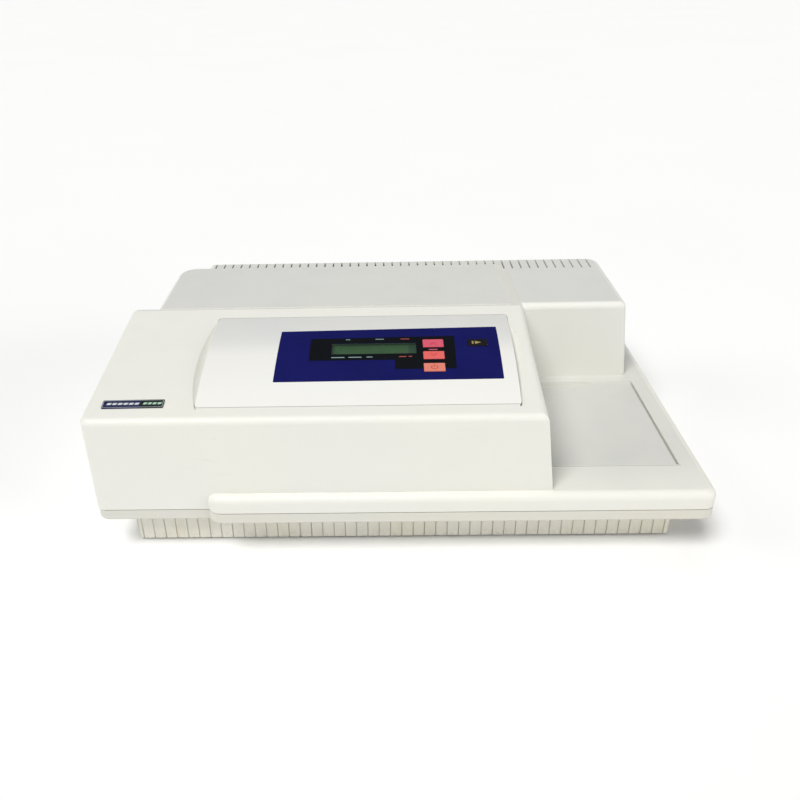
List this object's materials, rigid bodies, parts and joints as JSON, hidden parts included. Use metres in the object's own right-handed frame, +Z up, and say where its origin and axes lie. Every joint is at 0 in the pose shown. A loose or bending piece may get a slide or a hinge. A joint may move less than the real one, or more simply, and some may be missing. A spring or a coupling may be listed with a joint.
{
  "type": "microplate reader",
  "caption": "Benchtop microplate reader with sloped front, crowned keypad panel, sliding plate drawer over a side deck, rear vent slots and a ribbed plinth.",
  "frame": {"origin": "centre of the bounding box at the underside of the feet", "axes": "+X towards the plate deck on the right, +Y to the rear, +Z up"},
  "size_m": [0.58, 0.385, 0.1746],
  "materials": {
    "housing_plastic": "fine textured paint, off-white",
    "panel_plastic": "fine textured paint, off-white",
    "base_plastic": "moulded, warm off-white",
    "plinth_plastic": "moulded with vertical grooves, yellowed",
    "foot_rubber": "soft black rubber",
    "overlay_film": "printed satin film, navy",
    "window": "clear window over green display",
    "display": "green liquid crystal glass",
    "key_pink": "satin film",
    "key_coral": "satin film",
    "key_orange": "satin film",
    "key_black": "satin film",
    "badge": "bare dark plate",
    "board": "solder mask",
    "steel": "plated steel",
    "alu": "machined",
    "black_alu": "black anodised",
    "motor": "black lacquer",
    "bronze": "sintered bronze",
    "tray": "dark moulded tray",
    "glass": "polished",
    "mirror": "front-silvered",
    "black_plastic": "black moulded"
  },
  "bodies": {
    "case": {"aux_port": "steel", "badge_plate": "badge", "base_moulding": "base_plastic", "chassis_plate": "steel", "collimating_mirrors": "mirror", "control_panel": "panel_plastic", "cover_screws": "steel", "detector_module": "black_alu", "drawer_motor": "motor", "drawer_rods": "steel", "drawer_supports": "alu", "emission_housing": "alu", "excitation_housing": "alu", "fan_frame": "black_plastic", "filter_motor": "motor", "flash_lamp": "glass", "inlet_pins": "bronze", "keypad_board": "board", "keypad_overlay": "overlay_film", "lamp_housing": "alu", "lcd_module": "display", "lcd_window": "window", "main_board": "board", "plinth_skirt": "plinth_plastic", "power_entry_frame": "black_plastic", "power_supply": "steel", "rear_panel": "steel", "rear_screws": "steel", "rubber_feet": "foot_rubber", "serial_port": "steel", "stage_motor": "motor", "stage_plate": "alu", "stage_posts": "steel", "stage_rods": "steel", "stage_supports": "alu", "upper_housing": "housing_plastic"},
    "drawer": {"drawer_tray": "tray", "drawer_fascia": "panel_plastic", "drawer_carriage": "alu", "drawer_bearings": "bronze", "drawer_nut": "bronze"},
    "drawer_drive_screw": {"drawer_screw": "steel"},
    "bridge": {"stage_bridge": "alu", "bridge_rod": "steel", "head_motor": "motor"},
    "bridge_drive_screw": {"stage_screw": "steel"},
    "head": {"read_head": "black_alu", "head_lens": "glass"},
    "head_drive_screw": {"head_screw": "steel"},
    "wheel": {"filter_wheel": "black_alu", "filter_glasses": "glass"},
    "grating_ex": {"excitation_grating": "mirror"},
    "grating_em": {"emission_grating": "mirror"},
    "fan": {"fan_rotor": "black_plastic"},
    "rocker": {"power_rocker": "black_plastic"},
    "fuse": {"fuse_drawer": "black_plastic"},
    "button_temp_up": {"key_temp_up": "key_pink"},
    "button_temp_down": {"key_temp_down": "key_coral"},
    "button_temp_power": {"key_temp_power": "key_orange"},
    "button_drawer": {"key_drawer": "key_black"}
  },
  "joints": [
    {"name": "drawer_slide", "type": "slide", "parent": "case", "child": "drawer", "axis": [1, 0, 0], "range_m": [0, 0.118]},
    {"name": "drawer_screw_turn", "type": "hinge", "parent": "case", "child": "drawer_drive_screw", "pos_m": [0, -0.0595, 0.064], "axis": [1, 0, 0], "range_deg": [0, 2660]},
    {"name": "bridge_slide", "type": "slide", "parent": "case", "child": "bridge", "axis": [1, 0, 0], "range_m": [0, 0.063]},
    {"name": "bridge_screw_turn", "type": "hinge", "parent": "case", "child": "bridge_drive_screw", "pos_m": [0.06, 0.042, 0.124], "axis": [1, 0, 0], "range_deg": [0, 1420]},
    {"name": "head_slide", "type": "slide", "parent": "bridge", "child": "head", "axis": [0, 1, 0], "range_m": [0, 0.099]},
    {"name": "head_screw_turn", "type": "hinge", "parent": "bridge", "child": "head_drive_screw", "pos_m": [0.044, -0.057, 0.1184], "axis": [0, 1, 0], "range_deg": [0, 2230]},
    {"name": "wheel_turn", "type": "hinge", "parent": "case", "child": "wheel", "pos_m": [-0.066, 0.105, 0.092], "axis": [1, 0, 0], "continuous": true},
    {"name": "grating_ex_turn", "type": "hinge", "parent": "case", "child": "grating_ex", "pos_m": [-0.2, -0.021, 0.08], "axis": [0, 0, 1], "range_deg": [0, 60]},
    {"name": "grating_em_turn", "type": "hinge", "parent": "case", "child": "grating_em", "pos_m": [-0.15, 0.107, 0.08], "axis": [0, 0, 1], "range_deg": [0, 60]},
    {"name": "fan_turn", "type": "hinge", "parent": "case", "child": "fan", "pos_m": [0.1, 0.175, 0.1], "axis": [0, 1, 0], "continuous": true},
    {"name": "rocker_tilt", "type": "hinge", "parent": "case", "child": "rocker", "pos_m": [0.213, 0.184, 0.1155], "axis": [1, 0, 0], "range_deg": [-12.3, 0]},
    {"name": "fuse_slide", "type": "slide", "parent": "case", "child": "fuse", "axis": [0, 1, 0], "range_m": [0, 0.012]},
    {"name": "press_temp_up", "type": "slide", "parent": "case", "child": "button_temp_up", "axis": [0, 0.1123, -0.9937], "range_m": [0, 0.0005], "stiffness_N_per_m": 800},
    {"name": "press_temp_down", "type": "slide", "parent": "case", "child": "button_temp_down", "axis": [0, 0.1123, -0.9937], "range_m": [0, 0.0005], "stiffness_N_per_m": 800},
    {"name": "press_temp_power", "type": "slide", "parent": "case", "child": "button_temp_power", "axis": [0, 0.1123, -0.9937], "range_m": [0, 0.0005], "stiffness_N_per_m": 800},
    {"name": "press_drawer", "type": "slide", "parent": "case", "child": "button_drawer", "axis": [0, 0.1123, -0.9937], "range_m": [0, 0.0005], "stiffness_N_per_m": 800}
  ],
  "couplings": [
    {"joint": "drawer_screw_turn", "follows": "drawer_slide", "rad_per_m": 392.7},
    {"joint": "bridge_screw_turn", "follows": "bridge_slide", "rad_per_m": 392.7},
    {"joint": "head_screw_turn", "follows": "head_slide", "rad_per_m": 392.7}
  ]
}
